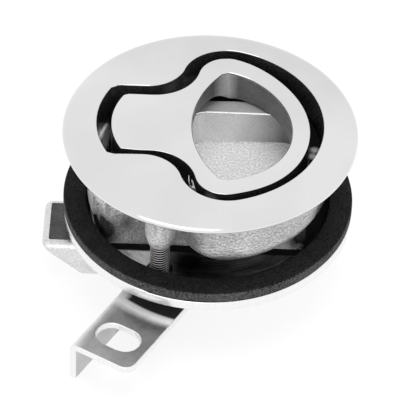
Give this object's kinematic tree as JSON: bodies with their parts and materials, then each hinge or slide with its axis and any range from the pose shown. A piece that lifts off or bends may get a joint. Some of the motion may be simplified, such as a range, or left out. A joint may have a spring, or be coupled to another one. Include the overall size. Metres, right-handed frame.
{
  "type": "flush pull latch",
  "caption": "Round flush pull slam latch with a pear-shaped lifting handle, spring bolt, clamp ring with rubber gasket, and a loose folded strike.",
  "frame": {"origin": "centre of the bezel's flat underside, where it sits on the panel", "axes": "+Z out of the panel towards the user, the bolt points to -X, the handle lifts at its +X end"},
  "size_m": [0.0814, 0.0908, 0.0497],
  "materials": {
    "polished_steel": "mirror polished face on a cast body",
    "cast_steel": "tumbled casting",
    "satin_steel": "satin",
    "spring_steel": "bright drawn",
    "black_rubber": "matte"
  },
  "bodies": {
    "latch_body": {"housing": "polished_steel", "pivot_pin": "satin_steel", "bolt_spring_front": "spring_steel", "bolt_spring_back": "spring_steel", "bolt_cover": "satin_steel", "cover_screw_1": "satin_steel", "cover_screw_2": "satin_steel", "cover_screw_3": "satin_steel", "cover_screw_4": "satin_steel", "gasket": "black_rubber", "clamp_ring": "satin_steel", "clamp_screw_front": "satin_steel", "clamp_screw_back": "satin_steel", "flat_washer_front": "satin_steel", "flat_washer_back": "satin_steel", "spring_washer_front": "spring_steel", "spring_washer_back": "spring_steel", "strike": "satin_steel"},
    "handle": {"pull_handle": "polished_steel"},
    "bolt": {"slam_bolt": "cast_steel"}
  },
  "joints": [
    {"name": "handle_hinge", "type": "hinge", "parent": "latch_body", "child": "handle", "pos_m": [-0.0215, 0, -0.0026], "axis": [0, -1, 0], "range_deg": [0, 28]},
    {"name": "bolt_slide", "type": "slide", "parent": "latch_body", "child": "bolt", "axis": [1, 0, 0], "range_m": [0, 0.00916], "stiffness_N_per_m": 100, "springref_m": -0.004, "deforming": ["bolt_spring_front", "bolt_spring_back"]}
  ],
  "couplings": [
    {"joint": "bolt_slide", "follows": "handle_hinge", "m_per_rad": 0.018733}
  ]
}
